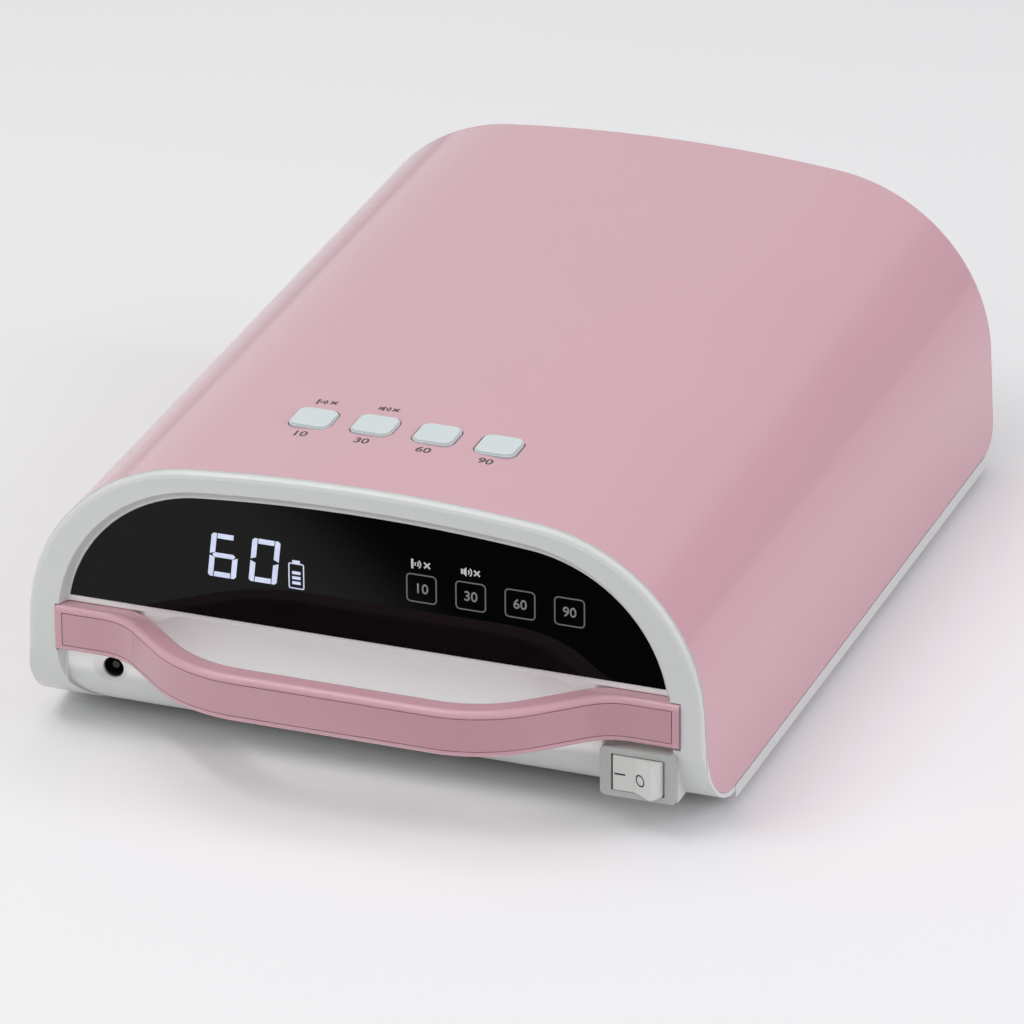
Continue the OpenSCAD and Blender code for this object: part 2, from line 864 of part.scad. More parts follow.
module battery_cradle() {
    a0 = cell_rows[0] - 11;
    a1 = cell_rows[1] + 11;
    low = cradle_low;
    color(black) in_arch() difference() {
        union() {
            block(-cradle_w, cradle_w, a0, a1, low, low + 1.6);
            for (x = [-cradle_w, cradle_w - 1.6]) block(x, x + 1.6, a0, a1, low, low + 20);
            for (x = [-50, -18, 16, 48]) block(x, x + 2, a0, a1, low, low + 8);
        }
        for (a = cell_rows) translate([0, a, cell_n]) rotate([0, 90, 0])
            cylinder(r = cell_r + fit, h = 2 * cradle_w - 3.2, center = true);
    }
}

module cell_tabs() {
    color(steel) in_arch() {
        for (x = [-tab_x, tab_x - 0.4], a = cell_rows)
            block(x, x + 0.4, a - 4, a + 4, cell_n - 4, cell_n + 4);
        for (x = [-tab_x, tab_x - 0.4]) block(x, x + 0.4, cell_rows[0], cell_rows[1], cell_n - 2, cell_n + 2);
        for (a = cell_rows) block(-1.4, 1.4, a - 4, a + 4, cell_n - 4, cell_n + 4);
    }
}

// Chassis

function floor_holes() = [for (s = [-1, 1], a = [31, 54]) [s * floor_screw_x, a]];

module chassis_floor() {
    a0 = lip_a + 0.3;
    a1 = tunnel_a - 0.1;
    top = cover_low + 2;
    floor_w = body_w / 2 - 2.9;
    color(white) in_arch() difference() {
        union() {
            block(-floor_w, floor_w, a0, a1, cover_low, top);
            for (x = [-58, 0, 58], a = [28, 48]) rod_n(x, a, top - 0.5, cradle_low, 4);
            for (x = [-30, 30]) block(x - 0.8, x + 0.8, a0, a1, top - 0.5, top + 3);
        }
        for (p = floor_holes()) rod_n(p[0], p[1], cover_low - 1, top + 1, 1.2);
        for (p = floor_holes()) rod_n(p[0], p[1], cover_low - 1, cover_low + 1, 2.9);
        for (s = [-1, 1]) rod_n(s * front_magnet_x, 40, cover_low - 1, cover_low + 1.4, 5.2);
    }
}

module chassis_screws() {
    color(steel) in_arch() for (p = floor_holes()) {
        rod_n(p[0], p[1], cover_low + 0.1, cover_low + 1, 2.6);
        rod_n(p[0], p[1], cover_low + 0.9, cover_low + 9, 1.1);
    }
}

// Hand tunnel

module inner_liner() {
    color(white) above(cover_z + 0.4) in_arch() {
        difference() {
            along(tunnel_a, body_l - 4.2) arch(tunnel_w, tunnel_h, tunnel_r);
            along(tunnel_a + tunnel_t, body_l) {
                arch(tunnel_w - tunnel_t, tunnel_h - tunnel_t, tunnel_r - tunnel_t);
            }
            at_lamps() translate([0, 0, -5]) cylinder(r = led_r + 0.3, h = 12, $fn = 24);
            for (x = [-12, 12]) rod_n(x, body_l - 14, tunnel_h - 4, tunnel_h + 2, 2.7);
        }
        lamp_rails();
    }
}

// rails on the lining's outside that carry the lamp boards
module lamp_rails() {
    a0 = led_first - 8;
    a1 = led_first + (led_count - 1) * led_pitch + 8;
    for (x = [-32, -13, 11.8, 30.8]) block(x, x + 1.2, a0, a1, tunnel_h - 1.4, tunnel_h + 1.4);
    for (s = [-1, 1]) translate([s * tunnel_cx, 0, tunnel_cn]) rotate([0, s * side_lamp, 0])
        for (x = [-8, 6.8]) translate([x, a0, tunnel_r - 1.2]) cube([1.2, a1 - a0, 3]);
}

// the shoulder centre of the tunnel
tunnel_cx = shoulder_x(tunnel_w, 18.6, tunnel_r);
tunnel_cn = shoulder_n(tunnel_h, tunnel_cx, tunnel_r);

// puts its child at each lamp, with the child's +Z out of the tunnel and Z = 0 on the lining
module at_lamps() {
    for (i = [0:led_count - 1]) {
        a = led_first + i * led_pitch;
        for (x = [-24, 0, 24]) translate([x, a, tunnel_h - x * x / 2 / crown_r]) children();
        for (s = [-1, 1]) translate([s * tunnel_cx, a, tunnel_cn]) rotate([0, s * side_lamp, 0])
            translate([0, 0, tunnel_r]) children();
    }
}

module led_boards() {
    a0 = led_first - 10;
    a1 = led_first + (led_count - 1) * led_pitch + 10;
    color(steel) in_arch() {
        block(-33, 33, a0, a1, tunnel_h + 1.4, tunnel_h + 3);
        for (s = [-1, 1]) translate([s * tunnel_cx, 0, tunnel_cn]) rotate([0, s * side_lamp, 0])
            translate([-9, a0, tunnel_r + 1.8]) cube([18, a1 - a0, 1.6]);
    }
}

// each lamp is a square base under a clear dome
module led_beads() {
    color([0.95, 0.9, 0.6]) in_arch() at_lamps() {
        translate([0, 0, -1.4]) cylinder(r = led_r, h = 2.6, $fn = 24);
        translate([0, 0, -2.8]) cylinder(r1 = led_r * 0.5, r2 = led_r, h = 1.5, $fn = 24);
    }
}

module rear_frame() {
    color(white) in_arch() intersection() {
        union() {
            along(body_l - 4.2, body_l - 1.4) difference() {
                arch_in(inside);
                arch(tunnel_w - tunnel_t, tunnel_h - tunnel_t, tunnel_r - tunnel_t);
            }
            along(body_l - 12, body_l - 4.1) difference() {
                arch_in(inside);
                arch_in(inside + 1.8);
            }
            for (s = [-1, 1]) difference() {
                translate([s * (magnet_x + 1), body_l - 16.5, cover_low + 4])
                    cube([10.8, 14, 8], center = true);
                rod_n(s * magnet_x, body_l - 16.5, cover_low - 1, cover_low + 1.6, 4.2);
            }
        }
        across() cover_side(0);
    }
}

module ir_sensors() {
    color(black) in_arch() for (x = [-12, 12]) {
        rod_n(x, body_l - 14, tunnel_h - 2.4, tunnel_h + 5, 2.5);
    }
}

// Base

// centre and radius of each magnet
function magnet_spots() = [
    for (s = [-1, 1]) [s * magnet_x, front_y + body_l - 16.5, 4],
    for (s = [-1, 1]) [s * front_magnet_x, front_y + 40, 5]
];

module lamp_magnets() {
    color(steel) for (p = magnet_spots()) {
        translate([p[0], p[1], cover_z + 0.1]) cylinder(r = p[2], h = 1.2);
    }
}

module tray_magnets() {
    color(steel) for (p = magnet_spots()) {
        translate([p[0], p[1], foot_h + tray_t]) cylinder(r = p[2], h = 1.4);
    }
}

module tray_outline(d) {
    w = body_w - 2 * frame_low * tan(wall_lean) - 2 * d;
    l = rear_y - tray_y - 2 * d;
    translate([0, (rear_y + tray_y) / 2]) {
        rounded(w, l, max(tray_r - d, 1));
        translate([0, -l / 4]) square([w, l / 2], center = true);
    }
}

module base_tray() {
    color(white) difference() {
        translate([0, 0, foot_h]) linear_extrude(tray_rim) tray_outline(0);
        translate([0, 0, foot_h + tray_t]) linear_extrude(tray_rim) tray_outline(2);
        for (p = foot_spots()) translate([p[0], p[1], foot_h - 1]) cylinder(r = 2.6, h = tray_t);
    }
}

module tray_liner() {
    color(steel) translate([0, (front_y + tunnel_a + rear_y) / 2, foot_h + tray_t])
        linear_extrude(0.6) rounded(2 * tunnel_w - 12, rear_y - front_y - tunnel_a - 8, 6);
}

function foot_spots() = [for (s = [-1, 1], y = [tray_y + 16, rear_y - 16]) [s * foot_x, y]];

module rubber_feet() {
    color(black) for (p = foot_spots()) translate([p[0], p[1], 0]) {
        cylinder(r = foot_r, h = foot_h);
        translate([0, 0, foot_h - 0.1]) cylinder(r = 2.5, h = 1.1);
    }
}

shell_cover();
front_bezel();
display_lens();
handle_grip();
handle_inlay();
handle_screws();
switch_housing();
switch_rocker();
switch_terminals();
dc_socket();
button_10();
button_30();
button_60();
button_90();
button_board();
tact_switches();
board_screws();
display_board();
digit_module();
icon_light_box();
control_board();
power_parts();
buzzer();
battery_cells();
battery_cradle();
cell_tabs();
chassis_floor();
chassis_screws();
inner_liner();
led_boards();
led_beads();
rear_frame();
ir_sensors();
lamp_magnets();
base_tray();
tray_liner();
tray_magnets();
rubber_feet();
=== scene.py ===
"""Cordless nail lamp: the finishes, the printed and glowing marks, the studio and the camera.

Every size is in metres. X is to the right as seen from the display end, Y runs from the display end
to the hand opening, Z is up. A place on the lamp is written as (x, along, up), in millimetres of
the arch's own frame: along is measured from the front face and up from the arch's foot, as in the
part's source.
"""

import json
import math

import bmesh
import bpy
from mathutils import Matrix, Vector


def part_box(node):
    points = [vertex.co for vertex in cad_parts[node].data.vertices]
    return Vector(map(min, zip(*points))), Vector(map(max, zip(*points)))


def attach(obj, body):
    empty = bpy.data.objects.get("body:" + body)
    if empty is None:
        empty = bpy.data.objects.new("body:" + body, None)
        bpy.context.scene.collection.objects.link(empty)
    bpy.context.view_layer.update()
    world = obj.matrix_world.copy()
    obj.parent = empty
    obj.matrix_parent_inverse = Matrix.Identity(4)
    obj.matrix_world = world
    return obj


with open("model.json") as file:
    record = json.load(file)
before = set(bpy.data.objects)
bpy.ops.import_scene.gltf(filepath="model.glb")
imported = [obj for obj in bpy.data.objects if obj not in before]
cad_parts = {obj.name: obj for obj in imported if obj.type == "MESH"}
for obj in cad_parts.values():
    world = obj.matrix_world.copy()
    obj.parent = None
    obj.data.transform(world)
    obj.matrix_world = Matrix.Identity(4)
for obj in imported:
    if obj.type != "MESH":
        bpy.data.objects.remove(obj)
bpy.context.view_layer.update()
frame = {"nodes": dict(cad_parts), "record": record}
MM = 0.001

# Driving sizes, as in the part's source

LENS_DEPTH = 3.0 * MM
LENS_FOOT = 29.4 * MM
CROWN_RADIUS = 500.0 * MM

# A printed mark's thickness, and how far its back lies under the surface
INK = 0.04 * MM
INK_SUNK = 0.3 * INK

lens_low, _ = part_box("display_lens")
_, cover_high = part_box("shell_cover")
FRONT_Y = lens_low.y - LENS_DEPTH
FOOT_Z = lens_low.z - LENS_FOOT
CROWN_Z = cover_high.z


def arch_point(x, along, up):
    """A point of the arch's own frame, given in millimetres, in metres of the scene."""
    return Vector((x * MM, FRONT_Y + along * MM, FOOT_Z + up * MM))


def arch_middle(node):
    """The middle of a node as x and along, in millimetres."""
    low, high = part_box(node)
    return (low.x + high.x) / 2 / MM, ((low.y + high.y) / 2 - FRONT_Y) / MM


def crown_height(x):
    """Height of the domed top at a distance from the middle."""
    return CROWN_Z - CROWN_RADIUS + math.sqrt(CROWN_RADIUS**2 - x * x)


# Shader node groups


def new_group(name, inputs, outputs):
    """An empty shader group with the named sockets, and its input and output nodes."""
    group = bpy.data.node_groups.new(name, "ShaderNodeTree")
    kinds = {"float": "NodeSocketFloat", "color": "NodeSocketColor", "vector": "NodeSocketVector"}
    for socket, kind, value in inputs:
        made = group.interface.new_socket(name=socket, in_out="INPUT", socket_type=kinds[kind])
        made.default_value = value
    for socket, kind in outputs:
        group.interface.new_socket(name=socket, in_out="OUTPUT", socket_type=kinds[kind])
    start = group.nodes.new("NodeGroupInput")
    end = group.nodes.new("NodeGroupOutput")
    return group, start, end


def noise(tree, vector, scale, detail=3.0, roughness=0.5):
    """A noise texture on a vector; scale is a number or a socket."""
    node = tree.nodes.new("ShaderNodeTexNoise")
    node.inputs["Detail"].default_value = detail
    node.inputs["Roughness"].default_value = roughness
    tree.links.new(vector, node.inputs["Vector"])
    if isinstance(scale, (int, float)):
        node.inputs["Scale"].default_value = scale
    else:
        tree.links.new(scale, node.inputs["Scale"])
    return node.outputs["Fac"]


def math_node(tree, operation, first, second=None, third=None, clamp=False):
    """A math node; each operand is a number or a socket."""
    node = tree.nodes.new("ShaderNodeMath")
    node.operation = operation
    node.use_clamp = clamp
    for i, value in enumerate((first, second, third)):
        if value is None:
            continue
        if isinstance(value, (int, float)):
            node.inputs[i].default_value = value
        else:
            tree.links.new(value, node.inputs[i])
    return node.outputs["Value"]


def mix_colour(tree, factor, first, second):
    """A colour mix; factor and colours are values or sockets."""
    node = tree.nodes.new("ShaderNodeMix")
    node.data_type = "RGBA"
    sockets = (node.inputs["Factor"], node.inputs[6], node.inputs[7])
    for socket, value in zip(sockets, (factor, first, second)):
        if isinstance(value, (int, float, tuple, list)):
            socket.default_value = value
        else:
            tree.links.new(value, socket)
    return node.outputs[2]


def smooth_range(tree, value, first, last):
    """0 up to first and 1 from last on, with a smooth step between."""
    node = tree.nodes.new("ShaderNodeMapRange")
    node.interpolation_type = "SMOOTHSTEP"
    node.inputs["From Min"].default_value = first
    node.inputs["From Max"].default_value = last
    tree.links.new(value, node.inputs["Value"])
    return node.outputs["Result"]


def centred(tree, value, amount):
    """A value that lies round 0.5, moved to lie round 0 and multiplied by an amount."""
    return math_node(tree, "MULTIPLY", math_node(tree, "SUBTRACT", value, 0.5), amount)


def object_coordinates(tree):
    return tree.nodes.new("ShaderNodeTexCoord").outputs["Object"]


def object_axes(tree):
    """The three object coordinates as separate sockets."""
    split = tree.nodes.new("ShaderNodeSeparateXYZ")
    tree.links.new(object_coordinates(tree), split.inputs["Vector"])
    return split.outputs["X"], split.outputs["Y"], split.outputs["Z"]


def build_moulded_skin():
    """Injection-moulded plastic: a slow drift of tone, fine speckle and a fine surface ripple."""
    group, start, end = new_group(
        "moulded_skin",
        [
            ("Color", "color", (0.8, 0.8, 0.8, 1)),
            ("Drift", "float", 0.04),
            ("Speckle", "float", 0.02),
            ("Roughness", "float", 0.3),
            ("Gloss spread", "float", 0.06),
            ("Grain scale", "float", 1400.0),
        ],
        [("Color", "color"), ("Roughness", "float"), ("Height", "float")],
    )
    place = object_coordinates(group)
    slow = noise(group, place, 14.0, 4.0, 0.55)
    fine = noise(group, place, 2600.0, 2.0, 0.6)
    ripple = noise(group, place, start.outputs["Grain scale"], 3.0, 0.6)
    smear = noise(group, place, 55.0, 5.0, 0.65)
    drift = centred(group, slow, start.outputs["Drift"])
    speck = centred(group, fine, start.outputs["Speckle"])
    tone = math_node(group, "ADD", math_node(group, "ADD", drift, speck), 1.0)
    toned = group.nodes.new("ShaderNodeVectorMath")
    toned.operation = "SCALE"
    group.links.new(start.outputs["Color"], toned.inputs[0])
    group.links.new(tone, toned.inputs["Scale"])
    group.links.new(toned.outputs["Vector"], end.inputs["Color"])
    spread = centred(group, smear, start.outputs["Gloss spread"])
    rough = math_node(group, "ADD", start.outputs["Roughness"], spread, clamp=True)
    group.links.new(rough, end.inputs["Roughness"])
    group.links.new(ripple, end.inputs["Height"])
    return group


def build_metal_grain():
    """Rolled or plated metal: drawn lines along one direction, and cloudy tarnish."""
    group, start, end = new_group(
        "metal_grain",
        [
            ("Color", "color", (0.7, 0.7, 0.7, 1)),
            ("Tarnish", "color", (0.4, 0.38, 0.34, 1)),
            ("Tarnish amount", "float", 0.3),
            ("Stretch", "vector", (1.0, 1.0, 1.0)),
            ("Roughness", "float", 0.3),
        ],
        [("Color", "color"), ("Roughness", "float"), ("Height", "float")],
    )
    place = object_coordinates(group)
    stretched = group.nodes.new("ShaderNodeVectorMath")
    stretched.operation = "MULTIPLY"
    group.links.new(place, stretched.inputs[0])
    group.links.new(start.outputs["Stretch"], stretched.inputs[1])
    lines = noise(group, stretched.outputs["Vector"], 900.0, 4.0, 0.7)
    cloud = noise(group, place, 120.0, 4.0, 0.6)
    mask = math_node(group, "MULTIPLY", cloud, start.outputs["Tarnish amount"])
    colour = mix_colour(group, mask, start.outputs["Color"], start.outputs["Tarnish"])
    group.links.new(colour, end.inputs["Color"])
    rough = math_node(group, "MULTIPLY_ADD", lines, 0.18, start.outputs["Roughness"], clamp=True)
    group.links.new(rough, end.inputs["Roughness"])
    group.links.new(lines, end.inputs["Height"])
    return group


def build_hand_marks():
    """Faint smears where fingers have been: a mask that is high only in scattered patches."""
    group, start, end = new_group(
        "hand_marks",
        [("Patch scale", "float", 28.0), ("Ridge scale", "float", 900.0)],
        [("Mask", "float")],
    )
    place = object_coordinates(group)
    patches = noise(group, place, start.outputs["Patch scale"], 3.0, 0.5)
    band = smooth_range(group, patches, 0.58, 0.78)
    ridges = noise(group, place, start.outputs["Ridge scale"], 2.0, 0.8)
    mask = math_node(group, "MULTIPLY", band, ridges, clamp=True)
    group.links.new(mask, end.inputs["Mask"])
    return group


MOULDED_SKIN = build_moulded_skin()
METAL_GRAIN = build_metal_grain()
HAND_MARKS = build_hand_marks()


# Materials

PLASTIC_IOR = 1.49
ACRYLIC_IOR = 1.27
DOME_IOR = 1.5


def new_material(name):
    """A new material, with its node tree and its Principled shader."""
    material = bpy.data.materials.new(name)
    material.use_nodes = True
    tree = material.node_tree
    shader = tree.nodes["Principled BSDF"]
    return material, tree, shader


def place_group(tree, group, **values):
    """Places a shader group and sets its named inputs; an underscore stands for a space."""
    node = tree.nodes.new("ShaderNodeGroup")
    node.node_tree = group
    for name, value in values.items():
        node.inputs[name.replace("_", " ")].default_value = value
    return node


def soft_edges(tree, radius):
    """A normal that rounds sharp edges by a small radius."""
    node = tree.nodes.new("ShaderNodeBevel")
    node.samples = 6
    node.inputs["Radius"].default_value = radius
    return node.outputs["Normal"]


def bump(tree, shader, height, distance, strength=1.0, normal=None):
    node = tree.nodes.new("ShaderNodeBump")
    node.inputs["Strength"].default_value = strength
    node.inputs["Distance"].default_value = distance
    tree.links.new(height, node.inputs["Height"])
    if normal is not None:
        tree.links.new(normal, node.inputs["Normal"])
    tree.links.new(node.outputs["Normal"], shader.inputs["Normal"])


def rgba(colour):
    return (colour[0], colour[1], colour[2], 1.0)


def vary_colour(tree, shader, factor, first, second):
    """Mixes two base colours by a mask."""
    tree.links.new(mix_colour(tree, factor, first, second), shader.inputs["Base Color"])


def vary_roughness(tree, shader, mask, spread, lowest):
    """Roughness from a mask: lowest where it is 0, and more by spread where it is 1."""
    rough = math_node(tree, "MULTIPLY_ADD", mask, spread, lowest)
    tree.links.new(rough, shader.inputs["Roughness"])


def plastic(
    name, colour, roughness, drift=0.05, speckle=0.02, spread=0.06, grain=1400.0,
    depth=0.01 * MM, edge=None, coat=0.0, marks=0.0, subsurface=0.0,
):
    """Moulded plastic with its tone drift, fine ripple, softened edges and faint hand marks."""
    material, tree, shader = new_material(name)
    skin = place_group(
        tree, MOULDED_SKIN, Color=rgba(colour), Drift=drift, Speckle=speckle,
        Roughness=roughness, Gloss_spread=spread, Grain_scale=grain,
    )
    tree.links.new(skin.outputs["Color"], shader.inputs["Base Color"])
    rough = skin.outputs["Roughness"]
    if marks:
        touched = place_group(tree, HAND_MARKS)
        rough = math_node(tree, "MULTIPLY_ADD", touched.outputs["Mask"], marks, rough, clamp=True)
    tree.links.new(rough, shader.inputs["Roughness"])
    shader.inputs["IOR"].default_value = PLASTIC_IOR
    shader.inputs["Coat Weight"].default_value = coat
    shader.inputs["Coat Roughness"].default_value = 0.06
    if subsurface:
        shader.inputs["Subsurface Weight"].default_value = subsurface
        shader.inputs["Subsurface Radius"].default_value = (1.0, 0.8, 0.7)
        shader.inputs["Subsurface Scale"].default_value = 1.2 * MM
    normal = soft_edges(tree, edge) if edge else None
    bump(tree, shader, skin.outputs["Height"], depth, 1.0, normal)
    return material


def metal(
    name, colour, roughness, tarnish=(0.42, 0.39, 0.35), amount=0.25, stretch=(1, 1, 1), edge=None,
):
    """Plated, rolled or turned metal."""
    material, tree, shader = new_material(name)
    grain = place_group(
        tree, METAL_GRAIN, Color=rgba(colour), Tarnish=rgba(tarnish), Tarnish_amount=amount,
        Stretch=stretch, Roughness=roughness,
    )
    tree.links.new(grain.outputs["Color"], shader.inputs["Base Color"])
    tree.links.new(grain.outputs["Roughness"], shader.inputs["Roughness"])
    shader.inputs["Metallic"].default_value = 1.0
    normal = soft_edges(tree, edge) if edge else None
    bump(tree, shader, grain.outputs["Height"], 0.004 * MM, 1.0, normal)
    return material


def circuit_board(name):
    """Solder mask over copper runs: tracks on a grid, pads, and a slightly glossy lacquer."""
    material, tree, shader = new_material(name)
    place = object_coordinates(tree)
    tracks = tree.nodes.new("ShaderNodeTexBrick")
    tracks.inputs["Scale"].default_value = 210.0
    tracks.inputs["Mortar Size"].default_value = 0.035
    tracks.inputs["Color1"].default_value = (0, 0, 0, 1)
    tracks.inputs["Color2"].default_value = (0.12, 0.12, 0.12, 1)
    tracks.inputs["Mortar"].default_value = (1, 1, 1, 1)
    tree.links.new(place, tracks.inputs["Vector"])
    pads = tree.nodes.new("ShaderNodeTexVoronoi")
    pads.inputs["Scale"].default_value = 230.0
    tree.links.new(place, pads.inputs["Vector"])
    pad = math_node(tree, "LESS_THAN", pads.outputs["Distance"], 0.16)
    runs = mix_colour(tree, tracks.outputs["Color"], (0.012, 0.11, 0.045, 1), (0.03, 0.2, 0.085, 1))
    vary_colour(tree, shader, pad, runs, (0.62, 0.6, 0.52, 1))
    tree.links.new(math_node(tree, "MULTIPLY", pad, 0.85), shader.inputs["Metallic"])
    vary_roughness(tree, shader, noise(tree, place, 160.0, 3.0), 0.12, 0.26)
    bump(tree, shader, tracks.outputs["Color"], 0.03 * MM, 0.6)
    return material


def clear_dome(name, colour):
    """A clear lamp dome over a yellow chip: pale at its rim, warm in the middle."""
    material, tree, shader = new_material(name)
    rim = tree.nodes.new("ShaderNodeLayerWeight")
    rim.inputs["Blend"].default_value = 0.35
    drift = noise(tree, object_coordinates(tree), 600.0, 2.0)
    warm = mix_colour(tree, drift, rgba(colour), (0.86, 0.66, 0.16, 1))
    vary_colour(tree, shader, rim.outputs["Facing"], warm, (0.9, 0.9, 0.86, 1))
    vary_roughness(tree, shader, drift, 0.05, 0.04)
    shader.inputs["Transmission Weight"].default_value = 0.35
    shader.inputs["IOR"].default_value = DOME_IOR
    shader.inputs["Coat Weight"].default_value = 0.6
    return material


def glow(name, colour, drift=0.12):
    """A lit mark behind the window: its brightness varies a little along the strokes."""
    material, tree, shader = new_material(name)
    unevenness = noise(tree, object_coordinates(tree), 420.0, 3.0)
    dim = tuple(c * (1.0 - drift * 2) for c in colour)
    lit = mix_colour(tree, unevenness, rgba(dim), rgba(colour))
    tree.links.new(lit, shader.inputs["Emission Color"])
    shader.inputs["Emission Strength"].default_value = 1.0
    shader.inputs["Base Color"].default_value = rgba(tuple(c * 0.2 for c in colour))
    vary_roughness(tree, shader, unevenness, 0.1, 0.25)
    return material


def ink(name, colour, roughness=0.45):
    """Printed ink: slightly uneven cover and a matt, faintly rough film."""
    material, tree, shader = new_material(name)
    cover = noise(tree, object_coordinates(tree), 3200.0, 3.0)
    thin = tuple(c * 1.5 + 0.02 for c in colour)
    vary_colour(tree, shader, cover, rgba(colour), rgba(thin))
    vary_roughness(tree, shader, cover, 0.2, roughness)
    bump(tree, shader, cover, 0.004 * MM)
    return material


def black_acrylic(name):
    """Back-printed black window: a hard clear face with the faintest smears."""
    material, tree, shader = new_material(name)
    skin = place_group(
        tree, MOULDED_SKIN, Color=rgba((0.0012, 0.0014, 0.0014)), Drift=0.3, Speckle=0.1,
        Roughness=0.03, Gloss_spread=0.02, Grain_scale=160.0,
    )
    touched = place_group(tree, HAND_MARKS, Patch_scale=40.0)
    tree.links.new(skin.outputs["Color"], shader.inputs["Base Color"])
    vary_roughness(tree, shader, touched.outputs["Mask"], 0.04, skin.outputs["Roughness"])
    shader.inputs["IOR"].default_value = ACRYLIC_IOR
    bump(tree, shader, skin.outputs["Height"], 0.002 * MM, 0.3)
    return material


def rubber(name, colour):
    """Matt rubber with a fine pebble and a greyer bloom in patches."""
    material, tree, shader = new_material(name)
    place = object_coordinates(tree)
    pebble = tree.nodes.new("ShaderNodeTexVoronoi")
    pebble.inputs["Scale"].default_value = 1800.0
    tree.links.new(place, pebble.inputs["Vector"])
    bloom = noise(tree, place, 180.0, 4.0)
    grey = tuple(c * 1.9 + 0.01 for c in colour)
    vary_colour(tree, shader, bloom, rgba(colour), rgba(grey))
    vary_roughness(tree, shader, bloom, 0.15, 0.62)
    bump(tree, shader, pebble.outputs["Distance"], 0.05 * MM)
    return material


def reflector(name):
    """Metallised sheet: bright, with a soft pebbled grain that scatters the light."""
    material, tree, shader = new_material(name)
    place = object_coordinates(tree)
    cells = tree.nodes.new("ShaderNodeTexVoronoi")
    cells.inputs["Scale"].default_value = 420.0
    tree.links.new(place, cells.inputs["Vector"])
    cloud = noise(tree, place, 60.0, 3.0)
    vary_colour(tree, shader, cloud, (0.8, 0.8, 0.81, 1), (0.9, 0.9, 0.9, 1))
    vary_roughness(tree, shader, cloud, 0.1, 0.14)
    shader.inputs["Metallic"].default_value = 0.9
    bump(tree, shader, cells.outputs["Distance"], 0.05 * MM, 0.5)
    return material


# The recessed panel under the window gets painted light: a paler base colour where the studio's
# light falls short. Each pair runs from where the painted light is absent to where it is full, in
# millimetres: along from the front face, then up from the arch's foot.
RECESS_FRONT = (2.9, 3.3)
RECESS_REAR = (60, 50)
RECESS_FOOT = (5, 9)
RECESS_HEAD = (30, 29.4)
RECESS_PAINTED_LIGHT = (0.95, 0.96, 0.95)


def paint_light_into_recess(material):
    """Painted light: a paler base colour for the recessed panel and its finger scoop, found by
    their place, where the studio's light falls short.
    """
    tree = material.node_tree
    shader = tree.nodes["Principled BSDF"]
    satin = shader.inputs["Base Color"].links[0].from_socket
    _, y, z = object_axes(tree)
    edges = []
    for axis, start, pair in (
        (y, FRONT_Y, RECESS_FRONT), (y, FRONT_Y, RECESS_REAR),
        (z, FOOT_Z, RECESS_FOOT), (z, FOOT_Z, RECESS_HEAD),
    ):
        edges.append(smooth_range(tree, axis, start + pair[0] * MM, start + pair[1] * MM))
    depth = math_node(tree, "MULTIPLY", edges[0], edges[1])
    height = math_node(tree, "MULTIPLY", edges[2], edges[3])
    inside = math_node(tree, "MULTIPLY", height, depth)
    vary_colour(tree, shader, inside, satin, rgba(RECESS_PAINTED_LIGHT))


PINK = (0.62, 0.362, 0.408)
WHITE = (0.675, 0.695, 0.685)

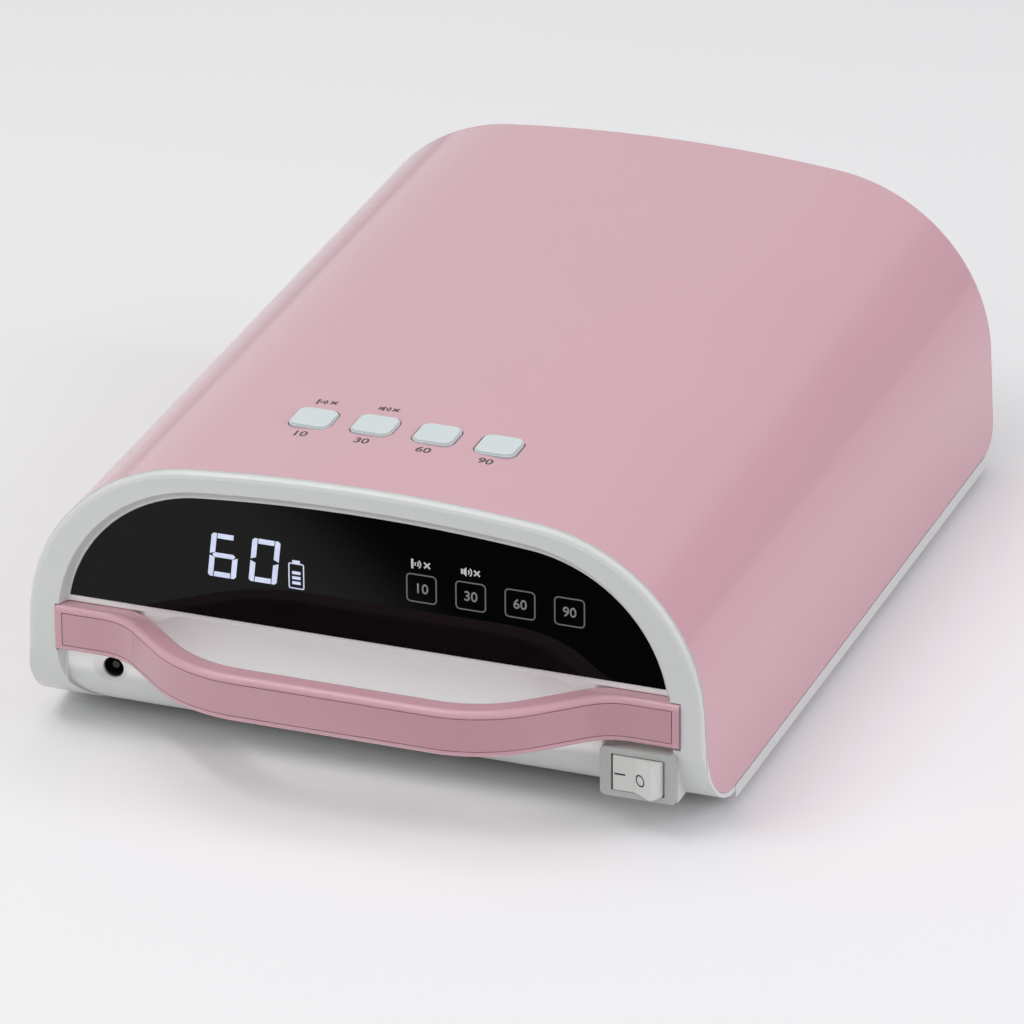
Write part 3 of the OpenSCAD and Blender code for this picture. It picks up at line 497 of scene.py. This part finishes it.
finishes = {
    "pink_shell": plastic(
        "pink_gloss_cover", PINK, 0.13, drift=0.05, speckle=0.015, spread=0.04, grain=700.0,
        depth=0.003 * MM, edge=0.35 * MM, marks=0.06, subsurface=0.06,
    ),
    "white_frame": plastic(
        "white_satin_frame", WHITE, 0.3, drift=0.03, speckle=0.012, grain=1700.0,
        depth=0.006 * MM, edge=0.4 * MM, marks=0.05, subsurface=0.08,
    ),
    "black_lens": black_acrylic("black_window_acrylic"),
    "pink_grip": plastic(
        "pink_gloss_handle", (0.62, 0.36, 0.41), 0.13, drift=0.05, spread=0.04, grain=900.0,
        depth=0.003 * MM, edge=0.35 * MM, marks=0.06, subsurface=0.06,
    ),
    "pink_inlay": plastic(
        "pink_gloss_inlay", (0.56, 0.32, 0.37), 0.17, drift=0.06, speckle=0.03, spread=0.05,
        depth=0.004 * MM, edge=0.2 * MM, marks=0.08,
    ),
    "screw_steel": metal("zinc_screw", (0.66, 0.66, 0.67), 0.24, edge=0.1 * MM),
    "switch_white": plastic(
        "warm_white_switch", (0.66, 0.68, 0.65), 0.24, drift=0.03, grain=1500.0,
        depth=0.006 * MM, edge=0.25 * MM, marks=0.06, subsurface=0.08,
    ),
    "contact_brass": metal(
        "tinned_brass", (0.78, 0.62, 0.32), 0.25, (0.45, 0.28, 0.12), 0.35, (0.1, 1, 1),
    ),
    "socket_black": plastic(
        "black_socket_nylon", (0.014, 0.014, 0.015), 0.42, drift=0.2, speckle=0.2, grain=2600.0,
        edge=0.1 * MM,
    ),
    "button_white": plastic(
        "milky_button", (0.62, 0.69, 0.69), 0.2, drift=0.02, speckle=0.01, grain=900.0,
        depth=0.005 * MM, edge=0.45 * MM, marks=0.08, subsurface=0.25,
    ),
    "board_green": circuit_board("green_solder_mask"),
    "part_black": plastic(
        "black_component", (0.022, 0.022, 0.024), 0.5, drift=0.3, speckle=0.3, grain=3000.0,
    ),
    "display_black": plastic(
        "black_digit_housing", (0.02, 0.02, 0.023), 0.55, drift=0.2, grain=2500.0,
    ),
    "light_white": plastic("white_light_box", (0.84, 0.84, 0.82), 0.5, drift=0.04, grain=2200.0),
    "alu_parts": metal(
        "cast_aluminium", (0.76, 0.76, 0.77), 0.3, (0.5, 0.5, 0.52), 0.4, (1, 1, 0.15),
    ),
    "cell_wrap": plastic(
        "blue_shrink_wrap", (0.06, 0.17, 0.42), 0.28, drift=0.15, grain=500.0, depth=0.03 * MM,
    ),
    "tab_nickel": metal(
        "nickel_strip", (0.7, 0.69, 0.66), 0.22, (0.5, 0.47, 0.4), 0.3, (1, 0.1, 1),
    ),
    "liner_white": plastic(
        "white_tunnel_lining", (0.82, 0.82, 0.82), 0.28, drift=0.03, grain=800.0, edge=0.2 * MM,
    ),
    "led_board": metal("white_coated_aluminium", (0.82, 0.82, 0.8), 0.4, (0.7, 0.69, 0.66), 0.5),
    "led_clear": clear_dome("clear_lamp_dome", (0.95, 0.83, 0.42)),
    "sensor_dark": plastic(
        "dark_infrared_window", (0.016, 0.008, 0.016), 0.12, drift=0.4, grain=600.0, coat=0.4,
    ),
    "magnet_steel": metal("nickel_magnet", (0.66, 0.66, 0.67), 0.16, (0.5, 0.48, 0.44), 0.2),
    "tray_white": plastic(
        "white_satin_tray", WHITE, 0.4, drift=0.03, speckle=0.02, grain=1900.0,
        depth=0.012 * MM, edge=0.3 * MM, marks=0.05,
    ),
    "mirror_sheet": reflector("metallised_sheet"),
    "foot_rubber": rubber("black_foot_rubber", (0.018, 0.018, 0.018)),
}

# Painted light on the frame's recessed panel: a paler base colour there
paint_light_into_recess(finishes["white_frame"])

# Painted shade: the switch's bezel gets a greyer copy of the switch white, for the shade that falls
# on it, though it and the rocker both have the slot switch_white
SHADED_SWITCH_BEZEL = plastic(
    "switch_bezel_painted_shade", (0.47, 0.485, 0.465), 0.3, drift=0.03, grain=1500.0,
    depth=0.006 * MM, edge=0.25 * MM, marks=0.06, subsurface=0.08,
)

for part in frame["record"]["subparts"]:
    node = part["node"]
    finish = SHADED_SWITCH_BEZEL if node == "switch_housing" else finishes[part["material_slot"]]
    shown = frame["nodes"][node]
    shown.data.materials.clear()
    shown.data.materials.append(finish)

PRINT_DARK = ink("dark_print", (0.035, 0.024, 0.028))
PRINT_SWITCH = ink("black_switch_print", (0.012, 0.014, 0.014), 0.4)
PRINT_LINE = glow("grey_frame_print", (0.115, 0.12, 0.122))
PRINT_GREY = glow("grey_number_print", (0.165, 0.17, 0.175))
PRINT_BRIGHT = glow("pale_sign_print", (0.45, 0.46, 0.46))
DIGIT_GLOW = glow("blue_white_digits", (0.66, 0.72, 0.93), 0.2)


# Thin plates for the marks, drawn flat in x and y with their face up


def thicken(bm, faces):
    """Gives flat faces the thickness of ink, with their old place as the back."""
    lifted = bmesh.ops.extrude_face_region(bm, geom=faces, use_keep_orig=True)["geom"]
    top = [v for v in lifted if isinstance(v, bmesh.types.BMVert)]
    bmesh.ops.translate(bm, vec=(0, 0, INK), verts=top)
    bmesh.ops.recalc_face_normals(bm, faces=bm.faces)


def flat_rectangle(width, height):
    """A flat rectangle in the middle of x and y."""
    bm = bmesh.new()
    bmesh.ops.create_grid(bm, x_segments=1, y_segments=1, size=0.5)
    bmesh.ops.scale(bm, vec=(width, height, 1), verts=bm.verts)
    return bm


def round_corners(bm, offset, segments):
    bmesh.ops.bevel(
        bm, geom=bm.verts[:], offset=offset, segments=segments, affect="VERTICES", profile=0.5,
        material=-1,
    )


def keep_border(bm, line):
    """Leaves only a border of one line width, and thickens it."""
    middle = bm.faces[:]
    bmesh.ops.inset_region(
        bm, faces=middle, thickness=line, use_boundary=True, use_even_offset=True
    )
    bmesh.ops.delete(bm, geom=middle, context="FACES")
    thicken(bm, bm.faces[:])


def outline_plate(corners):
    """A flat plate with a few corners."""
    bm = bmesh.new()
    face = bm.faces.new([bm.verts.new((x, y, 0)) for x, y in corners])
    thicken(bm, [face])
    return bm


def bar_plate(length, width, corner=0.0):
    """A straight bar along x; corner cuts its four corners."""
    bm = flat_rectangle(length, width)
    if corner:
        round_corners(bm, corner, 2)
    thicken(bm, bm.faces[:])
    return bm


def frame_plate(width, height, corner, line):
    """A rounded rectangular frame of one line width."""
    bm = flat_rectangle(width, height)
    round_corners(bm, corner, 6)
    keep_border(bm, line)
    return bm


def ring_plate(width, height, line):
    """An oval ring of one line width."""
    bm = bmesh.new()
    bmesh.ops.create_circle(bm, cap_ends=True, segments=40, radius=0.5)
    bmesh.ops.scale(bm, vec=(width, height, 1), verts=bm.verts)
    keep_border(bm, line)
    return bm


def arc_plate(radius, line, degrees):
    """A part of a ring that is open to the left, centred on the x axis."""
    angle = math.radians(degrees)
    bm = bmesh.new()
    inner = bm.verts.new((radius - line, 0, 0))
    outer = bm.verts.new((radius, 0, 0))
    edge = bm.edges.new((inner, outer))
    bmesh.ops.rotate(bm, matrix=Matrix.Rotation(-angle / 2, 3, "Z"), verts=bm.verts)
    bmesh.ops.spin(
        bm, geom=[inner, outer, edge], cent=(0, 0, 0), axis=(0, 0, 1), angle=angle, steps=12,
        use_merge=False,
    )
    bmesh.ops.remove_doubles(bm, verts=bm.verts, dist=1e-7)
    thicken(bm, bm.faces[:])
    return bm


def number_plate(text, height, weight):
    """A plain number in the middle; weight thickens its strokes, as a share of its size.

    A weight of 0.02 makes the outline of the 9 cross itself, and its tail goes missing.
    """
    curve = bpy.data.curves.new("number_outline", "FONT")
    curve.body = text
    curve.align_x = "CENTER"
    curve.align_y = "CENTER"
    curve.size = 1.0
    curve.offset = weight
    curve.resolution_u = 6
    holder = bpy.data.objects.new("number_outline", curve)
    bpy.context.scene.collection.objects.link(holder)
    bpy.context.view_layer.update()
    shown = holder.evaluated_get(bpy.context.evaluated_depsgraph_get())
    flat = bpy.data.meshes.new_from_object(shown)
    bpy.data.objects.remove(holder)
    bm = bmesh.new()
    bm.from_mesh(flat)
    bpy.data.meshes.remove(flat)
    bmesh.ops.remove_doubles(bm, verts=bm.verts, dist=1e-4)
    ys = [v.co.y for v in bm.verts]
    middle = (min(ys) + max(ys)) / 2
    bmesh.ops.translate(bm, vec=(0, -middle, 0), verts=bm.verts)
    bmesh.ops.scale(bm, vec=[height / (max(ys) - min(ys))] * 3, verts=bm.verts)
    for face in bm.faces:
        if face.normal.z < 0:
            face.normal_flip()
    thicken(bm, bm.faces[:])
    return bm


def add(target, part, place):
    """Moves a plate into place and joins it into the target, then frees it."""
    bmesh.ops.transform(part, matrix=place, verts=part.verts)
    scratch = bpy.data.meshes.new("scratch")
    part.to_mesh(scratch)
    part.free()
    target.from_mesh(scratch)
    bpy.data.meshes.remove(scratch)


def shift(x, y, turn=0.0):
    """A turn about the middle, then a move in the plate's own plane."""
    return Matrix.Translation((x, y, 0)) @ Matrix.Rotation(turn, 4, "Z")


UPRIGHT = math.pi / 2


def cross_mark(size, line):
    """The small cross that says off."""
    bm = bmesh.new()
    for turn in (math.pi / 4, -math.pi / 4):
        add(bm, bar_plate(size, line), shift(0, 0, turn))
    return bm


def sound_mark(size, line):
    """A loudspeaker with two waves and a cross: no sound."""
    bm = bmesh.new()
    left, slope, tall = -0.3 * size, 0.2 * size, 0.46 * size
    speaker = [(left, -slope), (0, -tall), (0, tall), (left, slope)]
    add(bm, outline_plate(speaker), Matrix.Identity(4))
    add(bm, bar_plate(0.5 * size, 0.18 * size), shift(-0.44 * size, 0, UPRIGHT))
    add(bm, arc_plate(0.3 * size, line, 100), shift(0, 0))
    add(bm, arc_plate(0.54 * size, line, 100), shift(0, 0))
    add(bm, cross_mark(0.74 * size, 1.3 * line), shift(0.98 * size, 0))
    return bm


def sensor_mark(size, line):
    """A hand sensor's bar and waves with a cross: sensor off."""
    bm = bmesh.new()
    add(bm, bar_plate(0.94 * size, 0.22 * size), shift(-0.48 * size, 0, UPRIGHT))
    add(bm, bar_plate(0.32 * size, line), shift(-0.2 * size, 0, UPRIGHT))
    add(bm, arc_plate(0.28 * size, line, 120), shift(-0.12 * size, 0))
    add(bm, arc_plate(0.5 * size, line, 110), shift(-0.12 * size, 0))
    add(bm, cross_mark(0.78 * size, 1.3 * line), shift(0.92 * size, 0))
    return bm


def new_object(name, bm, material):
    """An object at the origin, with its place in its mesh; the bmesh is freed."""
    mesh = bpy.data.meshes.new(name)
    bm.to_mesh(mesh)
    bm.free()
    mesh.materials.append(material)
    made = bpy.data.objects.new(name, mesh)
    bpy.context.scene.collection.objects.link(made)
    return made


def finish_piece(name, bm, material, body):
    """Makes a piece and hangs it on its body."""
    piece = new_object(name, bm, material)
    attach(piece, body)


# A plate's x stays x, its y becomes height, and its face looks to the front
FACE_FRONT = Matrix(((1, 0, 0, 0), (0, 0, -1, 0), (0, 1, 0, 0), (0, 0, 0, 1)))


# Marks on the window


def window_piece(name, bm, material, x, up, lean=0.0):
    """Puts a mark on the window's face, just proud of it; lean slants the strokes."""
    slant = Matrix(((1, math.tan(lean), 0, 0), (0, 1, 0, 0), (0, 0, 1, 0), (0, 0, 0, 1)))
    spot = arch_point(x, 0, up)
    spot.y = lens_low.y + INK_SUNK
    place = Matrix.Translation(spot) @ FACE_FRONT @ slant
    bmesh.ops.transform(bm, matrix=place, verts=bm.verts)
    finish_piece(name, bm, material, "lamp")


def segment_plate(key, width, height, stroke):
    """One segment of a digit: uprights are longest outside, and the middle bar is pointed."""
    gap = 0.16 * stroke
    half_w, half_h = width / 2, height / 2
    if key == "middle":
        end = half_w - 0.45 * stroke
        half = 0.46 * stroke
        low = [(-end, 0), (half - end, -half), (end - half, -half)]
        high = [(end, 0), (end - half, half), (half - end, half)]
        return outline_plate(low + high)
    if key in ("top", "bottom"):
        level = half_h if key == "top" else stroke - half_h
        end = half_w - stroke - gap
        low, high = level - stroke, level
        return outline_plate([(-end, low), (end, low), (end, high), (-end, high)])
    side = -1 if key.endswith("left") else 1
    rise = 1 if key.startswith("upper") else -1
    inner, corner = half_w - stroke, 0.4 * stroke
    outside = [(half_w, gap), (half_w, half_h - corner), (half_w - corner, half_h)]
    inside = [(inner, half_h), (inner, gap + corner)]
    corners = [(side * x, rise * y) for x, y in outside + inside]
    return outline_plate(corners if side * rise > 0 else corners[::-1])


def lit_digit(segments, width, height, stroke):
    """A seven-segment digit from its lit segments."""
    bm = bmesh.new()
    for key in segments:
        add(bm, segment_plate(key, width, height, stroke), Matrix.Identity(4))
    return bm


def battery_mark(width, height, line):
    """A battery outline with its cap and three charge bars."""
    corner, cap_height, cap_rise, cap_corner = 0.55 * MM, 0.9 * MM, 0.4 * MM, 0.2 * MM
    bar_height, bar_corner, first_bar, bar_pitch = 0.88 * MM, 0.12 * MM, 0.95 * MM, 1.5 * MM
    bm = bmesh.new()
    add(bm, frame_plate(width, height, corner, line), shift(0, 0))
    add(bm, bar_plate(0.5 * width, cap_height, cap_corner), shift(0, height / 2 + cap_rise))
    for i in range(3):
        bar = bar_plate(0.53 * width, bar_height, bar_corner)
        add(bm, bar, shift(0, first_bar - i * bar_pitch))
    return bm


DIGIT_LEAN = math.radians(6.5)
DIGIT_SIZE = (8.1 * MM, 13.0 * MM, 1.5 * MM)
SIX = ("top", "upper_left", "middle", "lower_left", "lower_right", "bottom")
ZERO = ("top", "upper_left", "upper_right", "lower_left", "lower_right", "bottom")
for name, segments, x, up in (
    ("digit_six", SIX, -40.3, 48.3),
    ("digit_zero", ZERO, -28.5, 48.6),
):
    window_piece(name, lit_digit(segments, *DIGIT_SIZE), DIGIT_GLOW, x, up, DIGIT_LEAN)

BATTERY_SIZE = (4.55 * MM, 7.65 * MM, 0.34 * MM)
BATTERY_X, BATTERY_UP = -19.4, 45.65
window_piece("battery_sign", battery_mark(*BATTERY_SIZE), DIGIT_GLOW, BATTERY_X, BATTERY_UP)

TIMES = ("10", "30", "60", "90")
ICON_FIRST = 16.5
ICON_PITCH = 14.0
ICON_UP = 47.8
ICON_FRAME = (8.75 * MM, 8.45 * MM, 1.3 * MM, 0.38 * MM)
ICON_NUMBER = (2.9 * MM, 0.012)
for i, time in enumerate(TIMES):
    x = ICON_FIRST + i * ICON_PITCH
    window_piece("window_frame_" + time, frame_plate(*ICON_FRAME), PRINT_LINE, x, ICON_UP)
    label = number_plate(time, *ICON_NUMBER)
    window_piece("window_number_" + time, label, PRINT_GREY, x, ICON_UP)

SIGN_SIZE = 3.0 * MM
SIGN_LINE = 0.36 * MM
SIGN_LEFT = 1.1
SIGN_RISE = 7.1
for i, (name, mark) in enumerate(
    (("window_sensor_sign", sensor_mark), ("window_sound_sign", sound_mark))
):
    x = ICON_FIRST + i * ICON_PITCH - SIGN_LEFT
    window_piece(name, mark(SIGN_SIZE, SIGN_LINE), PRINT_BRIGHT, x, ICON_UP + SIGN_RISE)


# Marks on the domed top: each point follows the dome


def top_piece(name, bm, time, right, behind):
    """Lays a mark on the dome, just proud of it, at a place from the middle of a button."""
    x, along = arch_middle("button_" + time)
    middle = arch_point(x + right, along + behind, 0)
    for vert in bm.verts:
        thickness = vert.co.z
        vert.co.x += middle.x
        vert.co.y += middle.y
        vert.co.z = crown_height(vert.co.x) - INK_SUNK + thickness
    finish_piece(name, bm, PRINT_DARK, "lamp")


TOP_NUMBER = (3.2 * MM, 0.015)
TOP_NUMBER_SPOT = (-0.3, -9.7)
for time in TIMES:
    top_piece("top_number_" + time, number_plate(time, *TOP_NUMBER), time, *TOP_NUMBER_SPOT)

TOP_SIGN_SIZE = 3.3 * MM
TOP_SIGN_LINE = 0.5 * MM
TOP_SIGN_SPOT = (-1.6, 11.2)
for name, mark, time in (
    ("top_sensor_sign", sensor_mark, "10"),
    ("top_sound_sign", sound_mark, "30"),
):
    top_piece(name, mark(TOP_SIGN_SIZE, TOP_SIGN_LINE), time, *TOP_SIGN_SPOT)


# Marks on the rocker: a bar on its flush half and a ring on its raised half

SWITCH_X = 79.2
SWITCH_UP = 4.9
PIVOT_ALONG = 0.5
PIVOT_DEPTH = 2.3
ROCK = math.radians(32)
CREASE_SHIFT = PIVOT_DEPTH * math.tan(ROCK / 2)


def rocker_piece(name, bm, across, up, tilt):
    """Puts a mark on the rocker's face at rest, at a distance across the face from its crease."""
    crease = arch_point(SWITCH_X - CREASE_SHIFT, PIVOT_ALONG - PIVOT_DEPTH, SWITCH_UP + up)
    turned = Matrix.Translation(crease) @ Matrix.Rotation(-tilt, 4, "Z")
    place = turned @ Matrix.Translation((across * MM, INK_SUNK, 0)) @ FACE_FRONT
    bmesh.ops.transform(bm, matrix=place, verts=bm.verts)
    finish_piece(name, bm, PRINT_SWITCH, "rocker")


ON_BAR = (3.1 * MM, 0.5 * MM, 0.12 * MM)
OFF_RING = (3.7 * MM, 3.5 * MM, 0.45 * MM)
rocker_piece("rocker_on_mark", bar_plate(*ON_BAR), -4.25, -0.27, 0)
rocker_piece("rocker_off_mark", ring_plate(*OFF_RING), 2.2, -0.7, ROCK)


# The studio: a pale floor, a white surround, a paper roll that only gloss sees, and four lamps

FLOOR_HALF = 4.0

# Where the floor has a painted dark reflection, seen only by mirrored rays, in x minus y and in y:
# each pair from absent to full
PAINTED_REFLECTION_ACROSS = (0.155, 0.205)
PAINTED_REFLECTION_Y = (-0.13, -0.17)


def build_floor():
    """A pale floor with a painted dark reflection: mirrored rays find it dark in front, so the
    black window mirrors a dark patch there.
    """
    bm = bmesh.new()
    bmesh.ops.create_grid(bm, x_segments=1, y_segments=1, size=FLOOR_HALF)
    material, tree, shader = new_material("pale_floor")
    cloud = noise(tree, object_coordinates(tree), 6.0, 2.0)
    tint = mix_colour(tree, cloud, (0.9, 0.9, 0.9, 1), (0.915, 0.915, 0.915, 1))
    x, y, _ = object_axes(tree)
    across = smooth_range(tree, math_node(tree, "SUBTRACT", x, y), *PAINTED_REFLECTION_ACROSS)
    right_front = math_node(tree, "MULTIPLY", across, smooth_range(tree, y, *PAINTED_REFLECTION_Y))
    # Painted reflection: gloss rays find the floor dark at the right front
    path = tree.nodes.new("ShaderNodeLightPath")
    mirrored = math_node(tree, "MULTIPLY", right_front, path.outputs["Is Glossy Ray"])
    vary_colour(tree, shader, mirrored, tint, (0.05, 0.05, 0.052, 1))
    shader.inputs["Roughness"].default_value = 0.75
    shader.inputs["Specular IOR Level"].default_value = 0.0
    floor = new_object("floor", bm, material)


def build_surround(soft, seen):
    """Light from all round at one strength, and a white background of another."""
    world = bpy.data.worlds.new("studio")
    bpy.context.scene.world = world
    world.use_nodes = True
    tree = world.node_tree
    background = tree.nodes["Background"]
    background.inputs["Color"].default_value = (0.985, 0.99, 1.0, 1)
    rays = tree.nodes.new("ShaderNodeLightPath").outputs
    seen_ray = math_node(tree, "MAXIMUM", rays["Is Camera Ray"], rays["Is Transmission Ray"])
    seen_ray = math_node(tree, "MAXIMUM", seen_ray, rays["Is Glossy Ray"])
    strength = math_node(tree, "MULTIPLY_ADD", seen_ray, seen - soft, soft)
    tree.links.new(strength, background.inputs["Strength"])


PAPER_WIDTH = 4.4
PAPER_HEIGHT = 1.3
PAPER_Y = 2.4

# Where the paper is grey, in height and in x: each pair from absent to full
PAPER_GREY_Z = (1.15, 0.85)
PAPER_GREY_X = (0.0, 0.5)


def build_backdrop():
    """A paper roll behind the lamp that only gloss sees: grey low down, white higher up."""
    bm = flat_rectangle(PAPER_WIDTH, PAPER_HEIGHT)
    bmesh.ops.rotate(bm, matrix=Matrix.Rotation(math.pi / 2, 3, "X"), verts=bm.verts)
    middle = (PAPER_WIDTH / 2, PAPER_Y, PAPER_HEIGHT / 2)
    bmesh.ops.translate(bm, vec=middle, verts=bm.verts)
    material, tree, shader = new_material("grey_paper")
    x, _, z = object_axes(tree)
    low, inside = smooth_range(tree, z, *PAPER_GREY_Z), smooth_range(tree, x, *PAPER_GREY_X)
    grey = math_node(tree, "MULTIPLY", low, inside)
    shade = mix_colour(tree, grey, (1, 1, 1, 1), (0.45, 0.43, 0.46, 1))
    tree.links.new(shade, shader.inputs["Emission Color"])
    shader.inputs["Emission Strength"].default_value = 1.0
    shader.inputs["Base Color"].default_value = (0, 0, 0, 1)
    shader.inputs["Specular IOR Level"].default_value = 0.0
    roll = new_object("paper_roll", bm, material)
    roll.visible_camera = False
    roll.visible_diffuse = False
    roll.visible_shadow = False


def soft_lamp(name, place, aim, size, power, shade=(1, 1, 1)):
    """A rectangular soft box that looks at a point."""
    light = bpy.data.lights.new(name, "AREA")
    light.shape = "RECTANGLE"
    light.size, light.size_y = size
    light.energy = power
    light.color = shade
    holder = bpy.data.objects.new(name, light)
    holder.location = place
    holder.rotation_euler = (Vector(aim) - Vector(place)).to_track_quat("-Z", "Y").to_euler()
    bpy.context.scene.collection.objects.link(holder)


build_floor()
build_surround(soft=0.5, seen=1.0)
build_backdrop()
soft_lamp("overhead_box", (-0.3, -0.15, 1.35), (0, 0, 0.04), (1.3, 1.0), 4.8)
soft_lamp("overhead_strip", (-0.42, -0.56, 1.15), (0, 0, 0.04), (1.0, 0.12), 2.5)
soft_lamp("front_left_box", (-1.1, -1.2, 0.9), (0, -0.05, 0.05), (0.9, 0.9), 2.9, (1, 0.995, 0.99))
soft_lamp("right_box", (1.4, 0.0, 0.8), (0, 0, 0.05), (0.8, 1.0), 7.2, (0.97, 0.89, 1))


# The camera, at the photograph's place: angles in radians, the rest in metres and pixels

AZIMUTH = 0.36107
ELEVATION = 0.44340
ROLL = -0.008347
FOCAL_PIXELS = 9058.3
DISTANCE = 2.517
SHIFT_PIXELS = (4.07, -43.17)
FRAME_PIXELS = 1024
AIM = Vector((0, 0, 0.045))
SENSOR_WIDTH = 36.0
CLIP = (0.1, 20.0)


def build_camera():
    """The camera, on a line from the aim at the two angles, then turned by the roll."""
    flat = math.cos(ELEVATION)
    back = Vector((math.sin(AZIMUTH) * flat, -math.cos(AZIMUTH) * flat, math.sin(ELEVATION)))
    level = Vector((math.cos(AZIMUTH), math.sin(AZIMUTH), 0))
    upright = back.cross(level)
    right = math.cos(ROLL) * level + math.sin(ROLL) * upright
    up = -math.sin(ROLL) * level + math.cos(ROLL) * upright
    lens = bpy.data.cameras.new("camera")
    lens.sensor_fit = "HORIZONTAL"
    lens.sensor_width = SENSOR_WIDTH
    lens.lens = SENSOR_WIDTH * FOCAL_PIXELS / FRAME_PIXELS
    lens.shift_x = SHIFT_PIXELS[0] / FRAME_PIXELS
    lens.shift_y = SHIFT_PIXELS[1] / FRAME_PIXELS
    lens.clip_start, lens.clip_end = CLIP
    camera = bpy.data.objects.new("camera", lens)
    turn = Matrix((right, up, back)).transposed().to_4x4()
    camera.matrix_world = Matrix.Translation(AIM + back * DISTANCE) @ turn
    bpy.context.scene.collection.objects.link(camera)
    bpy.context.scene.camera = camera


build_camera()
bpy.context.scene.view_settings.view_transform = "Standard"
